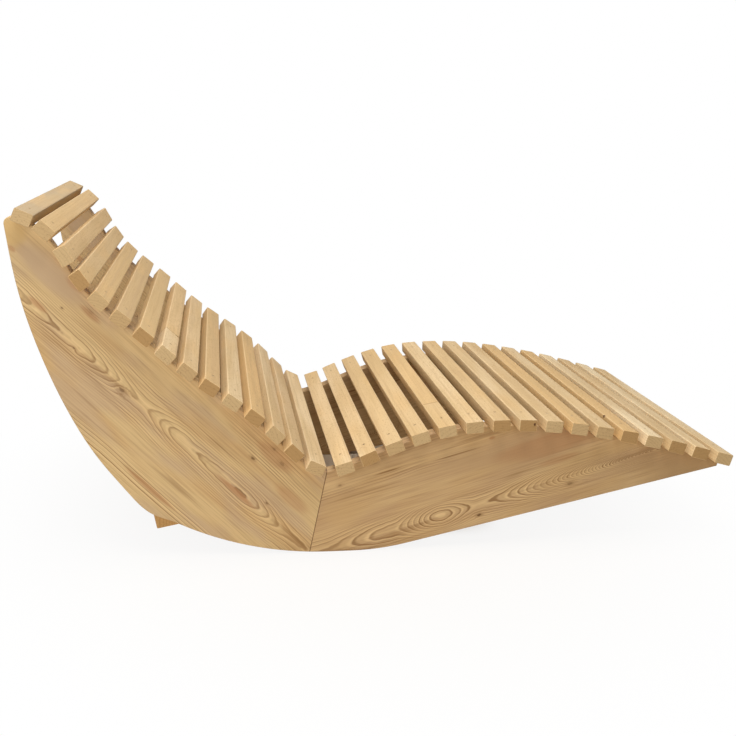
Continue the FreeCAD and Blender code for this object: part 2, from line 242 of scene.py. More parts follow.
def knot():
    """A knot at a place: its dark heart, its rim, and how far it pushes the rings round it."""
    tree, given, result = shader_group(
        "knot", [("Place", "NodeSocketVector", None), ("Heart", "NodeSocketVector", None),
                 ("Radius", "NodeSocketFloat", 0.006)],
        [("Core", "NodeSocketFloat"), ("Halo", "NodeSocketFloat"), ("Push", "NodeSocketFloat")])
    away = put(tree, "ShaderNodeVectorMath", {0: given["Place"], 1: given["Heart"]}, operation="SUBTRACT")
    oval = put(tree, "ShaderNodeVectorMath", {0: away.outputs[0], 1: KNOT_SHAPE}, operation="MULTIPLY")
    uneven = noise(tree, given["Place"], 1.0, KNOT_WAVES, 1.0)
    far = put(tree, "ShaderNodeVectorMath", {0: oval.outputs[0]}, operation="LENGTH").outputs["Value"]
    radii = sum_of(tree, "DIVIDE", far, given["Radius"])
    radii = sum_of(tree, "MULTIPLY_ADD", sum_of(tree, "SUBTRACT", uneven, 0.5), KNOT_WAVER, radii)
    tree.links.new(ramp(tree, radii, *KNOT_CORE), result.inputs["Core"])
    tree.links.new(ramp(tree, radii, *KNOT_HALO), result.inputs["Halo"])
    swell = sum_of(tree, "MULTIPLY", ramp(tree, radii, *KNOT_SWELL, 0.0, KNOT_PUSH), given["Radius"])
    tree.links.new(swell, result.inputs["Push"])
    return tree


rings_group = growth_rings()
fibres_group = fibres()
knot_group = knot()


PLANED_ROUGHNESS = 0.62
PLANED_RELIEF = 0.00025
BUMP_STRENGTH = 0.6
LATE_HEIGHT = 0.5                   # of the late wood, as a share of the height of a fleck
LATE_SMOOTHNESS = 0.1               # how much less rough the late wood is
WOOD_SHINE = 0.3


def finish_wood(tree, tint, late, fleck, rough=PLANED_ROUGHNESS, relief=PLANED_RELIEF):
    """The wood's shader: dull, a little smoother on the hard late wood, which also stands proud."""
    height = sum_of(tree, "MULTIPLY_ADD", late, LATE_HEIGHT, fleck)
    bump = put(tree, "ShaderNodeBump", {"Strength": BUMP_STRENGTH, "Distance": relief, "Height": height})
    roughness = sum_of(tree, "MULTIPLY_ADD", late, -LATE_SMOOTHNESS, rough)
    skin = put(tree, "ShaderNodeBsdfPrincipled", {"Base Color": tint, "Roughness": roughness,
                                                  "Specular IOR Level": WOOD_SHINE,
                                                  "Normal": bump.outputs[0]})
    put(tree, "ShaderNodeOutputMaterial", {"Surface": skin.outputs[0]})


def curve_along(tree, value, points):
    """A smooth curve of a value through (place, height) points, level at each of them."""
    height = points[0][1]
    for (start, low), (end, high) in zip(points, points[1:]):
        height = sum_of(tree, "ADD", height, ramp(tree, value, start, end, 0.0, high - low))
    return height


PATCH_EDGE = (1.2, 0.5)             # in half lengths of the oval, from none to full
PATCH_WAVER = 0.8


def patch(tree, place, haze, x, z, length, width):
    """An oval patch of a board, 1 inside and 0 outside, with a soft edge that wavers with the haze.

    The length and the width are half those of the oval.
    """
    off = put(tree, "ShaderNodeVectorMath", {0: place, 1: (x, 0, z)}, operation="SUBTRACT").outputs[0]
    off = put(tree, "ShaderNodeVectorMath", {0: off, 1: (1 / length, 0, 1 / width)}, operation="MULTIPLY")
    off = put(tree, "ShaderNodeVectorMath", {0: off.outputs[0]}, operation="LENGTH").outputs["Value"]
    off = sum_of(tree, "MULTIPLY_ADD", sum_of(tree, "SUBTRACT", haze, 0.5), PATCH_WAVER, off)
    return ramp(tree, off, *PATCH_EDGE)


def from_joint(tree, seen, low, top):
    """The distance of a place from a joint through two (x, z) points, seen from the side."""
    (low_x, low_z), (top_x, top_z) = low, top
    length = math.hypot(top_x - low_x, top_z - low_z)
    square = ((top_z - low_z) / length, 0, (low_x - top_x) / length)
    offset = (low_x * top_z - top_x * low_z) / length
    along = put(tree, "ShaderNodeVectorMath", {0: seen, 1: square}, operation="DOT_PRODUCT")
    return sum_of(tree, "ABSOLUTE", sum_of(tree, "SUBTRACT", along.outputs["Value"], offset))


KNOT_BROWN = colour(84, 50, 26)
GLUE_BROWN = colour(92, 62, 34)
GLUE_LINE = 0.0016                  # half the width of the line, with its soft edges
GLUE_LINE_CORE = 0.4 * GLUE_LINE
BOARD_FLECK = 0.004


def board_wood(name, figure, tones, mitre):
    """Flat-sawn wood: a figure of rings along its own sloping axis, knots, stains and a glue line.

    A mitre is the (x, z) of the low and the top end of the joint, seen from the side.
    """
    material, tree = empty_material(name)
    pale, warm, dusk, late_tone, light_tone = tones
    seen = put(tree, "ShaderNodeTexCoord").outputs["Object"]
    place = put(tree, "ShaderNodeMapping", {"Vector": seen, "Location": figure["centre"],
                                            "Rotation": (0, -figure["slope"], 0)},
                vector_type="TEXTURE").outputs[0]
    axes = put(tree, "ShaderNodeSeparateXYZ", {0: place}).outputs
    push, core, halo = 0.0, 0.0, 0.0
    for x, z, radius, darkness in figure["knots"]:
        spot = use(tree, knot_group, {"Place": place, "Heart": (x, 0, z), "Radius": radius})
        push = sum_of(tree, "ADD", push, spot["Push"])
        core = sum_of(tree, "MAXIMUM", core, sum_of(tree, "MULTIPLY", spot["Core"], darkness))
        halo = sum_of(tree, "MAXIMUM", halo, sum_of(tree, "MULTIPLY", spot["Halo"], darkness))
    rings = use(tree, rings_group, {"Place": place, "Depth": curve_along(tree, axes["X"], figure["depths"]),
                                    "Rings": figure["rings"], "Wander": figure["wander"],
                                    "Ripple": figure["ripple"], "Push": push, "Plain": figure["plain"]})
    grain = use(tree, fibres_group, {"Place": place, "Fleck Size": BOARD_FLECK})
    strength = figure["elsewhere"]
    for x, z, length, width, share in figure["marked"]:
        oval = patch(tree, place, grain["Haze"], x, z, length, width)
        strength = sum_of(tree, "MAXIMUM", strength, sum_of(tree, "MULTIPLY", oval, share))
    tint = coat(tree, pale, warm, grain["Cloud"], starts=0.42, full=0.62)
    tint = coat(tree, tint, dusk, grain["Haze"], starts=0.45, full=0.65, most=0.7)
    tint = coat(tree, tint, late_tone, grain["Band"], starts=0.58, full=0.72, most=0.35)
    tint = glaze(tree, tint, light_tone, sum_of(tree, "MULTIPLY", rings["Early"], strength), most=0.8)
    tint = glaze(tree, tint, late_tone, rings["Late"], most=strength)
    tint = coat(tree, tint, late_tone, grain["Streak"], starts=0.45, full=0.75, most=0.32)
    tint = coat(tree, tint, light_tone, grain["Streak"], starts=0.5, full=0.3, most=0.2)
    for x, z, length, width, tone, share in figure["stains"]:
        oval = patch(tree, place, grain["Haze"], x, z, length, width)
        tint = glaze(tree, tint, tone, oval, most=share)
    tint = glaze(tree, tint, late_tone, halo, most=0.4)
    tint = blend(tree, core, tint, KNOT_BROWN)
    joint = from_joint(tree, seen, *mitre)
    tint = coat(tree, tint, GLUE_BROWN, joint, starts=GLUE_LINE, full=GLUE_LINE_CORE, most=0.8)
    finish_wood(tree, tint, rings["Late"], grain["Streak"])
    return material


BOARD_PALE = colour(201, 173, 126)
BOARD_WARM = colour(190, 157, 110)
BOARD_PINK = colour(184, 158, 126)
BOARD_TAN = colour(193, 162, 118)
BOARD_RED = colour(179, 147, 108)
BOARD_LATE = colour(118, 80, 40)
BOARD_LIGHT = colour(224, 194, 144)
BOARD_YELLOW = colour(192, 160, 106)
BOARD_RUST = colour(166, 120, 80)
BOARD_DUSK = colour(168, 136, 96)
SEAT_CORNER_HEIGHT = 0.222
BACK_FIGURE_FROM_HEAD = 0.292       # head to the start of the back board's figure, along X
BACK_FIGURE_HEIGHT = 0.4226
LEG_FIGURE_FROM_MITRE = 0.342       # foot of the mitre to the middle of the leg board's ovals
LEG_FIGURE_HEIGHT = 0.090

back_tones = (BOARD_PALE, BOARD_WARM, BOARD_PINK, BOARD_LATE, BOARD_LIGHT)
leg_tones = (BOARD_TAN, BOARD_RED, BOARD_WARM, BOARD_LATE, BOARD_LIGHT)

# A figure's places lie along its own sloping axis (x) and across it (z), from its centre. Depths are
# those of the pith at places along the axis. Marked and stains are ovals, as (x, z, half length,
# half width), with how clearly the rings show there, or with the stain's colour and its strength.
# Knots are (x, z, radius, darkness).

# The back board's figure starts at the tip of its upper pointed oval. A lens of rings fills the
# lower half, round a brown stain, and closes just above the mitre.
back_figure = {
    "slope": math.radians(-45),
    "rings": 20.0, "wander": 0.007, "ripple": 0.0008, "elsewhere": 0.08, "plain": 0.5,
    "depths": ((-0.42, 0.0460), (-0.20, 0.0500), (0.02, 0.0610), (0.15, 0.0523), (0.36, 0.0495),
               (0.54, 0.0600), (0.64, 0.0620)),
    "marked": ((0.070, -0.002, 1.600, 0.062, 0.95),
               (0.070, -0.150, 1.600, 0.024, 1.0),
               (0.350, 0.118, 0.150, 0.036, 0.8),
               (-0.229, 0.083, 0.040, 0.020, 0.6)),
    "stains": ((-0.360, 0.085, 0.120, 0.034, BOARD_PINK, 0.85),
               (-0.483, 0.093, 0.036, 0.034, BOARD_YELLOW, 0.8),
               (-0.459, 0.067, 0.012, 0.006, BOARD_RUST, 0.6),
               (-0.225, 0.078, 0.034, 0.009, BOARD_RUST, 0.5),
               (-0.299, 0.105, 0.030, 0.012, BOARD_RUST, 0.4),
               (-0.327, 0.010, 0.030, 0.008, BOARD_RUST, 0.6),
               (0.345, -0.007, 0.075, 0.009, BOARD_RUST, 0.75),
               (0.350, 0.128, 0.060, 0.022, BOARD_RUST, 0.45),
               (0.462, 0.075, 0.060, 0.020, BOARD_RUST, 0.4),
               (0.185, -0.148, 0.085, 0.007, BOARD_RUST, 0.65)),
    "knots": ((-0.283, 0.043, 0.0020, 0.6),
              (-0.198, -0.010, 0.0022, 0.6),
              (-0.045, -0.008, 0.0050, 0.5),
              (0.310, 0.086, 0.0035, 0.7),
              (0.422, 0.024, 0.0024, 0.6),
              (-0.229, 0.083, 0.0060, 0.2),
              (0.331, 0.140, 0.0040, 0.35),
              (0.374, 0.126, 0.0050, 0.35)),
}

# The leg board's figure is centred on its closed ovals. Beyond them the pith climbs steadily
# through the board, which lays a row of chevrons towards the toe.
leg_figure = {
    "slope": math.radians(16.3),
    "rings": 24.6, "wander": 0.006, "ripple": 0.0008, "elsewhere": 0.06, "plain": 0.6,
    "depths": ((-0.32, 0.0800), (-0.13, 0.0720), (0.0, 0.0560), (0.10, 0.0635), (0.64, 0.0150)),
    "marked": ((0.120, -0.002, 1.600, 0.048, 0.85),
               (-0.100, 0.150, 0.350, 0.016, 0.45),
               (-0.260, -0.030, 0.200, 0.040, 0.5)),
    "stains": ((0.250, 0.125, 0.260, 0.050, BOARD_RED, 0.7),
               (-0.240, 0.100, 0.060, 0.050, BOARD_WARM, 0.6),
               # The large dusk oval darkens the leg board towards the tip of its toe.
               (0.790, -0.050, 0.240, 0.120, BOARD_DUSK, 0.8),
               (0.350, -0.060, 0.200, 0.020, BOARD_DUSK, 0.2),
               # The two rust ovals near x 0.33 darken a band high on the leg board, just under the ends of
               # the slats.
               (0.330, 0.105, 0.170, 0.032, BOARD_RUST, 0.5),
               (0.345, 0.056, 0.060, 0.012, BOARD_RUST, 0.4),
               (0.181, 0.169, 0.010, 0.0050, BOARD_RUST, 0.7),
               (-0.103, 0.164, 0.040, 0.0028, BOARD_LATE, 0.7),
               (0.082, 0.154, 0.070, 0.0022, BOARD_LATE, 0.6),
               (-0.165, 0.127, 0.110, 0.0030, BOARD_LATE, 0.35)),
    "knots": ((0.100, -0.030, 0.0036, 0.8),
              (0.355, -0.020, 0.0050, 0.45),
              (-0.230, 0.165, 0.0032, 0.4)),
}

for side in ("right", "left"):
    back_low, back_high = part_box(side + "_back_board")
    mitre_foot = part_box(side + "_leg_board")[0].x
    mitre = ((mitre_foot, 0.0), (back_high.x, SEAT_CORNER_HEIGHT))
    face = back_low.y if side == "right" else back_high.y
    back_figure["centre"] = (back_low.x + BACK_FIGURE_FROM_HEAD, face, BACK_FIGURE_HEIGHT)
    back_wood = board_wood(side + " back board wood", back_figure, back_tones, mitre)
    nodes[side + "_back_board"].material_slots[0].material = back_wood
    leg_figure["centre"] = (mitre_foot + LEG_FIGURE_FROM_MITRE, face, LEG_FIGURE_HEIGHT)
    leg_wood = board_wood(side + " leg board wood", leg_figure, leg_tones, mitre)
    nodes[side + "_leg_board"].material_slots[0].material = leg_wood


# Cross rails
# Planed softwood, darker and more golden than the panels. The stop rail joins the panels at the
# heel of the rockers and the foot rail joins them near the toe; both are dowelled to the panels.

RAIL_PALE = colour(190, 150, 94)
RAIL_LATE = colour(134, 92, 48)
RAIL_RINGS = 14
RAIL_GRAIN_BESIDE = 0.05            # from the middle of a rail to the origin of its grain, along X
RAIL_GRAIN_BELOW = 0.03
BATTEN_DEPTH = 0.06                 # from the origin of the grain to the pith
BATTEN_WANDER = 0.006
BATTEN_FLECK = 0.004
ALONG_Y = (0, 0, math.radians(90))


def batten_wood(name, centre, rotation, rings_count, pale, late_tone):
    """Plain straight-grained wood for a rail or a dowel."""
    material, tree = empty_material(name)
    seen = put(tree, "ShaderNodeTexCoord").outputs["Object"]
    place = put(tree, "ShaderNodeMapping", {"Vector": seen, "Location": centre, "Rotation": rotation},
                vector_type="TEXTURE").outputs[0]
    rings = use(tree, rings_group, {"Place": place, "Depth": BATTEN_DEPTH, "Rings": rings_count,
                                    "Wander": BATTEN_WANDER})
    grain = use(tree, fibres_group, {"Place": place, "Fleck Size": BATTEN_FLECK})
    tint = glaze(tree, pale, late_tone, rings["Late"], most=0.5)
    tint = coat(tree, tint, late_tone, grain["Streak"], starts=0.3, full=0.8, most=0.35)
    finish_wood(tree, tint, rings["Late"], grain["Streak"])
    return material


for name in ("stop_rail", "foot_rail"):
    low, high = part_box(name)
    middle = (low + high) / 2
    origin = (middle.x + RAIL_GRAIN_BESIDE, 0, middle.z - RAIL_GRAIN_BELOW)
    rail_wood = batten_wood(name + " wood", origin, ALONG_Y, RAIL_RINGS, RAIL_PALE, RAIL_LATE)
    nodes[name].material_slots[0].material = rail_wood


# Dowels
# Plain turned softwood pegs, hidden in the mitres, where they run from board to board, and in the
# ends of the rails, where they lie across the lounger.

DOWEL_RINGS = 30

for name in ("right_mitre_dowels", "left_mitre_dowels", "stop_rail_dowels", "foot_rail_dowels"):
    rotation = (0, 0, 0) if "mitre" in name else ALONG_Y
    peg_wood = batten_wood(name + " wood", (0, 0, 0), rotation, DOWEL_RINGS, BOARD_PALE, BOARD_LATE)
    nodes[name].material_slots[0].material = peg_wood


# Slats
# Thirty-one battens, fine-sawn on all four sides, with eased long edges and lightly chamfered ends.
# Each lies across both panels and has a hole for a screw's head over each panel. No two have the
# same grain, and they vary from cream to tan.

SLAT_WIDTH = 0.045
SLAT_THICKNESS = 0.031
SLAT_EDGE_ROUND = 0.003
SLAT_ROUND_SEGMENTS = 4
SMOOTH_ANGLE = math.radians(35)     # edges flatter than this are shaded smooth
SLAT_END_CHAMFER = 0.0008
END_FACE_REACH = 0.001              # a face this near to the end is end grain if it faces that way
END_FACE_LEAN = 0.9                 # the least Y of its normal
HOLE_RADIUS = 0.0037
HOLE_DEPTH = 0.0026
HOLE_SIDES = 20
OVERRUN = 0.002                     # how far the borer passes the top of the slat

slat_low, slat_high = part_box("slat_01")
SLAT_LENGTH = slat_high.y - slat_low.y
panel_low, panel_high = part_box("left_leg_board")
PANEL_MIDDLE = (panel_low.y + panel_high.y) / 2


def select_edges(piece, chosen):
    """Selects, in edit mode, the edges whose two ends both pass a test."""
    shape = bmesh.from_edit_mesh(piece.data)
    for edge in shape.edges:
        edge.select_set(all(chosen(point.co) for point in edge.verts))
    shape.select_flush_mode()
    bmesh.update_edit_mesh(piece.data)


def select_long_edges(piece):
    """Selects, in edit mode, the edges that run the length of the slat."""
    shape = bmesh.from_edit_mesh(piece.data)
    for edge in shape.edges:
        edge.select_set(edge.calc_length() > SLAT_LENGTH / 2)
    bmesh.update_edit_mesh(piece.data)


def carve(piece, cutter, solver):
    """Cuts a shape out of a piece and removes the shape."""
    bpy.context.view_layer.objects.active = piece
    cut = piece.modifiers.new("cut", "BOOLEAN")
    cut.operation = "DIFFERENCE"
    cut.object = cutter
    cut.solver = solver
    bpy.ops.object.modifier_apply(modifier=cut.name)
    bpy.data.objects.remove(cutter)


bpy.ops.object.select_all(action="DESELECT")
bpy.ops.mesh.primitive_cube_add(size=1, location=(0, 0, 0))
batten = bpy.context.object
batten.scale = (SLAT_WIDTH, SLAT_LENGTH, SLAT_THICKNESS)
bpy.ops.object.transform_apply(location=False, rotation=False, scale=True)
bpy.ops.object.mode_set(mode="EDIT")
bpy.ops.mesh.select_mode(type="EDGE")
select_long_edges(batten)
bpy.ops.mesh.bevel(offset=SLAT_EDGE_ROUND, segments=SLAT_ROUND_SEGMENTS, affect="EDGES")
select_edges(batten, lambda point: abs(point.y) > SLAT_LENGTH / 2 - SLAT_END_CHAMFER / 2)
bpy.ops.mesh.bevel(offset=SLAT_END_CHAMFER, segments=1, affect="EDGES")
bpy.ops.object.mode_set(mode="OBJECT")

for side in (-1, 1):
    bpy.ops.object.select_all(action="DESELECT")
    borer_height = SLAT_THICKNESS / 2 - (HOLE_DEPTH - OVERRUN) / 2
    bpy.ops.mesh.primitive_cylinder_add(vertices=HOLE_SIDES, radius=HOLE_RADIUS, depth=HOLE_DEPTH + OVERRUN,
                                        location=(0, side * PANEL_MIDDLE, borer_height))
    borer = bpy.context.object
    bpy.ops.object.transform_apply(location=True, rotation=False, scale=False)
    carve(batten, borer, "EXACT")

slat_names = sorted(name for name in nodes if name.startswith("slat_"))
slat_middles = []
for name in slat_names:
    low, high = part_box(name)
    slat_middles.append((low + high) / 2)


def slat_slope(name, before, after):
    """The slope of a slat, worked out from the box round its rounded section and its neighbours."""
    low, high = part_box(name)
    wide = high.x - low.x - 2 * SLAT_EDGE_ROUND
    tall = high.z - low.z - 2 * SLAT_EDGE_ROUND
    core_width = SLAT_WIDTH - 2 * SLAT_EDGE_ROUND
    core_height = SLAT_THICKNESS - 2 * SLAT_EDGE_ROUND
    cosine = core_width * wide - core_height * tall
    sine = core_width * tall - core_height * wide
    return math.copysign(math.atan2(max(sine, 0.0), cosine), after.z - before.z)


SLAT_CREAM = colour(226, 200, 158)
SLAT_TAN = colour(200, 168, 118)
SLAT_DUSK = colour(180, 158, 124)
SLAT_HONEY = colour(216, 178, 122)
SLAT_LATE = colour(160, 120, 70)
SLAT_LIGHT = colour(240, 218, 178)
END_GRAIN = colour(192, 165, 122)
END_GRAIN_DARK = colour(164, 128, 80)
END_GRAIN_LINE = colour(128, 94, 54)
SLAT_RINGS = 11.0
SLAT_WANDER = 0.012
SLAT_FLECK = 0.0035
SAWN_ROUGHNESS = 0.7
END_ROUGHNESS = 0.8
SLAT_RELIEF = 0.0003
SLAT_KNOT_RADIUS = 0.0036
SLAT_KNOT_SHAPE = (1, 3, 1)         # a slat's knot is a third as deep as a board's would be
SEAM_STARTS = 0.0026                # the distance from a joint where its dark line starts
SEAM_FULL = 0.0012
JOINT_STEP = 0.0005                 # the length in which the wood changes at a joint
EDGE_HIGHLIGHT_INSET = 0.0008                 # how far inside the faces the painted highlight on an eased edge is full

# Slats are counted from the head. A shade is -1 for light, 0 for cream, 1 for tan and 2 for dusk.
# A slat without a shade of its own draws one, from the tan range or from the cream one. In the
# same way each slat draws how honey-coloured it is and how dark its ends are.
# Slat 1's dusk and the tan of slats 2 to 7 are partly their own tone and partly painted shade, which
# darkens back-rest tops that face the lamps.
SHADES = {1: 2.0, 6: 1.3, 10: 1.3, 14: 0.4, 15: -0.1, 18: 0.6, 19: 0.6, 20: 0.5, 22: 0.5,
          28: -0.8, 30: -1.0, 31: -0.5}
TAN_SLATS = (2, 3, 4, 5, 7, 12, 25, 27)
TAN_RANGE = (0.6, 0.9)
CREAM_RANGE = (0.05, 0.3)
HONEY_SLATS = (10, 12, 25, 27)
DARK_ENDED_SLATS = (4, 7, 10, 12, 14, 17, 22, 23, 27, 29, 30)
FULL_HONEY = 0.9
FULL_DARK = 0.85
SLIGHT_RANGE = (0.0, 0.35)
PITH_ALONG = (-9, 9)                # ranges of the pith's place, along, below and beside a slat
PITH_BELOW = (0.05, 0.12)
PITH_BESIDE = (-0.05, 0.05)
JOINTS = {8: 0.180, 20: 0.182}      # slats of two lengths, and how far the joint is from the right end
KNOTS = {23: (-0.400, 0.004, 0.0160), 27: (-0.282, 0.012, -0.0225)}     # along, up and across a slat
NO_KNOT = (9, 9, 9)                 # a place far outside every slat
SPLIT_SLAT = 8
SPLIT_LENGTH = 0.018                # from the edge of the slat to the point of the split
SPLIT_WIDTH = 0.015                 # of the wedge's back, which stays outside the slat
SPLIT_DEPTH = 0.010
SPLIT_TURN = math.radians(95)       # a little off square to the slat


def batten_nodes(tree):
    """The start of a slat's material: its own axes, its tones, its rings and its fine grain.

    The tones' X is the shade, Y is honey, Z is dark end grain, W is the place of a joint and Knot is
    the heart of a knot.
    """
    own = put(tree, "ShaderNodeAttribute", attribute_name="batten_place").outputs["Vector"]
    pith = put(tree, "ShaderNodeAttribute", attribute_name="batten_pith").outputs["Vector"]
    shades = put(tree, "ShaderNodeAttribute", attribute_name="batten_tone").outputs["Vector"]
    joint = put(tree, "ShaderNodeAttribute", attribute_name="batten_joint").outputs["Fac"]
    heart = put(tree, "ShaderNodeAttribute", attribute_name="batten_knot").outputs["Vector"]
    place = put(tree, "ShaderNodeVectorMath", {0: own, 1: pith}, operation="ADD").outputs[0]
    rings = use(tree, rings_group, {"Place": place, "Depth": 0.0, "Rings": SLAT_RINGS,
                                    "Wander": SLAT_WANDER})
    grain = use(tree, fibres_group, {"Place": place, "Fleck Size": SLAT_FLECK})
    parts = put(tree, "ShaderNodeSeparateXYZ", {0: shades}).outputs
    tone = {"X": parts["X"], "Y": parts["Y"], "Z": parts["Z"], "W": joint}
    own_shaped = put(tree, "ShaderNodeVectorMath", {0: own, 1: SLAT_KNOT_SHAPE}, operation="MULTIPLY")
    heart_shaped = put(tree, "ShaderNodeVectorMath", {0: heart, 1: SLAT_KNOT_SHAPE}, operation="MULTIPLY")
    tone["Knot"] = use(tree, knot_group, {"Place": own_shaped.outputs[0], "Heart": heart_shaped.outputs[0],
                                          "Radius": SLAT_KNOT_RADIUS})["Core"]
    return put(tree, "ShaderNodeSeparateXYZ", {0: own}).outputs, tone, rings, grain


def slat_wood():
    """Fine-sawn batten wood: faint rings, sparse specks, and a painted highlight along each eased edge."""
    material, tree = empty_material("slat wood")
    own, tone, rings, grain = batten_nodes(tree)
    tint = blend(tree, sum_of(tree, "MULTIPLY", tone["X"], -1.0), SLAT_CREAM, SLAT_LIGHT)
    tint = blend(tree, tone["X"], tint, SLAT_TAN)
    tint = blend(tree, tone["Y"], tint, SLAT_HONEY)
    tint = blend(tree, sum_of(tree, "SUBTRACT", tone["X"], 1.0), tint, SLAT_DUSK)
    joint = sum_of(tree, "SUBTRACT", tone["W"], own["X"])
    tint = coat(tree, tint, SLAT_HONEY, joint, starts=JOINT_STEP, full=0.0, most=0.55)
    tint = coat(tree, tint, SLAT_TAN, grain["Cloud"], starts=0.4, full=0.65, most=0.6)
    tint = coat(tree, tint, SLAT_HONEY, grain["Haze"], starts=0.5, full=0.7, most=0.4)
    tint = glaze(tree, tint, SLAT_LATE, rings["Late"], most=0.22)
    tint = coat(tree, tint, SLAT_LATE, grain["Streak"], starts=0.4, full=0.8, most=0.25)
    tint = coat(tree, tint, SLAT_LATE, grain["Fleck"], starts=0.56, full=0.76, most=0.5)
    from_seam = sum_of(tree, "ABSOLUTE", joint)
    tint = coat(tree, tint, SLAT_LATE, from_seam, starts=SEAM_STARTS, full=SEAM_FULL, most=0.75)
    # Painted highlight: each slat is lightened along its rounded long edges, where the rounding would catch
    # the light.
    highlight_edges = []
    for axis, half in (("Y", SLAT_THICKNESS / 2), ("Z", SLAT_WIDTH / 2)):
        from_middle = sum_of(tree, "ABSOLUTE", own[axis])
        highlight_edges.append(ramp(tree, from_middle, half - SLAT_EDGE_ROUND, half - EDGE_HIGHLIGHT_INSET))
    tint = glaze(tree, tint, SLAT_LIGHT, sum_of(tree, "MULTIPLY", *highlight_edges), most=0.3)
    tint = blend(tree, tone["Knot"], tint, KNOT_BROWN)
    finish_wood(tree, tint, rings["Late"], grain["Fleck"], SAWN_ROUGHNESS, SLAT_RELIEF)
    return material


def end_grain_wood():
    """Sawn end grain: the same rings seen end on, greyer and darker than the sides."""
    material, tree = empty_material("slat end grain")
    own, tone, rings, grain = batten_nodes(tree)
    tint = blend(tree, tone["Z"], END_GRAIN, END_GRAIN_DARK)
    tint = glaze(tree, tint, END_GRAIN_LINE, rings["Late"], most=0.25)
    tint = coat(tree, tint, END_GRAIN_LINE, grain["Fleck"], starts=0.55, full=0.8, most=0.5)
    tint = blend(tree, tone["Knot"], tint, KNOT_BROWN)
    finish_wood(tree, tint, rings["Late"], grain["Fleck"], END_ROUGHNESS, SLAT_RELIEF)
    return material


def split_edge(slat, along):
    """Splits the top of a slat at its foot side, with an upright wedge that points across it."""
    triangle_side = math.sqrt(3)    # in a circle of radius 1
    bpy.ops.object.select_all(action="DESELECT")
    bpy.ops.mesh.primitive_cylinder_add(vertices=3, radius=1, depth=1, rotation=(0, 0, SPLIT_TURN),
                                        location=(SLAT_WIDTH / 2, along, SLAT_THICKNESS / 2))
    wedge = bpy.context.object
    wedge.scale = (SPLIT_WIDTH / triangle_side, SPLIT_LENGTH, 2 * SPLIT_DEPTH)
    bpy.ops.object.transform_apply(location=True, rotation=True, scale=True)
    carve(slat, wedge, "FAST")


def mark(mesh, name, kind, field, value_of):
    """Stores a value for each corner of a mesh, for the material to read."""
    layer = mesh.attributes.new(name, kind, "POINT")
    for point in mesh.vertices:
        setattr(layer.data[point.index], field, value_of(point.co))


side_wood = slat_wood()
end_wood = end_grain_wood()
draw = random.Random(31)
for number, name in enumerate(slat_names):
    counted = number + 1
    before = slat_middles[max(number - 1, 0)]
    after = slat_middles[min(number + 1, len(slat_names) - 1)]
    slope = slat_slope(name, before, after)
    joint = JOINTS[counted] - SLAT_LENGTH / 2 if counted in JOINTS else SLAT_LENGTH
    mesh = batten.data.copy()
    slat = bpy.data.objects.new(name + "_batten", mesh)
    bpy.context.scene.collection.objects.link(slat)
    mesh.materials.clear()
    mesh.materials.append(side_wood)
    mesh.materials.append(end_wood)
    if counted == SPLIT_SLAT:
        split_edge(slat, joint)
    for face in mesh.polygons:
        at_end = abs(face.center.y) > SLAT_LENGTH / 2 - END_FACE_REACH
        face.material_index = 1 if at_end and abs(face.normal.y) > END_FACE_LEAN else 0
    pith = Vector((draw.uniform(*PITH_ALONG), draw.uniform(*PITH_BELOW), draw.uniform(*PITH_BESIDE)))
    honey = FULL_HONEY if counted in HONEY_SLATS else draw.uniform(*SLIGHT_RANGE)
    ends = FULL_DARK if counted in DARK_ENDED_SLATS else draw.uniform(*SLIGHT_RANGE)
    drawn_shade = draw.uniform(*(TAN_RANGE if counted in TAN_SLATS else CREAM_RANGE))
    tone = Vector((SHADES.get(counted, drawn_shade), honey, ends))
    heart = KNOTS.get(counted, NO_KNOT)
    mark(mesh, "batten_place", "FLOAT_VECTOR", "vector", lambda point: (point.y, point.z, point.x))
    mark(mesh, "batten_pith", "FLOAT_VECTOR", "vector", lambda point: pith)
    mark(mesh, "batten_tone", "FLOAT_VECTOR", "vector", lambda point: tone)
    mark(mesh, "batten_knot", "FLOAT_VECTOR", "vector", lambda point: heart)
    mark(mesh, "batten_joint", "FLOAT", "value", lambda point: joint)
    mesh.transform(Matrix.Translation(slat_middles[number]) @ Matrix.Rotation(-slope, 4, "Y"))
    bpy.ops.object.select_all(action="DESELECT")
    slat.select_set(True)
    bpy.context.view_layer.objects.active = slat
    bpy.ops.object.shade_smooth_by_angle(angle=SMOOTH_ANGLE)
    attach(slat, "root")
    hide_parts(name)
bpy.data.objects.remove(batten)


# Slat screws
# Small countersunk wood screws with a hexagon socket, one for each slat and panel, in
# yellow-passivated steel that is close in tone to the wood, so that they hardly show.

SCREW_PALE = colour(196, 170, 128)
SCREW_DARK = colour(150, 124, 86)
SCREW_METAL = 0.8
SCREW_STAINS = 300.0                # per metre
SCREW_STAIN_EDGES = (0.4, 0.65)
SCREW_ROUGHNESS = (0.35, 0.6)       # of clean and of stained steel


def screw_steel():
    """Passivated steel with small darker and duller stains."""
    material, tree = empty_material("screw steel")
    seen = put(tree, "ShaderNodeTexCoord").outputs["Object"]
    stain = noise(tree, seen, SCREW_STAINS, (1, 1, 1), 3.0)
    tint = coat(tree, SCREW_PALE, SCREW_DARK, stain, *SCREW_STAIN_EDGES)
    roughness = ramp(tree, stain, *SCREW_STAIN_EDGES, *SCREW_ROUGHNESS)
    skin = put(tree, "ShaderNodeBsdfPrincipled", {"Base Color": tint, "Metallic": SCREW_METAL,
                                                  "Roughness": roughness})
    put(tree, "ShaderNodeOutputMaterial", {"Surface": skin.outputs[0]})
    return material


steel = screw_steel()
for name in nodes:
    if name.endswith("_slat_screws"):
        nodes[name].material_slots[0].material = steel


# Studio
# A plain pale floor and a white surround, lit by two large soft lamps and a little by the room. The
# camera sees the floor as white that is slightly shaded near the lounger, and sees its paint only in
# a patch behind the gaps between the slats.

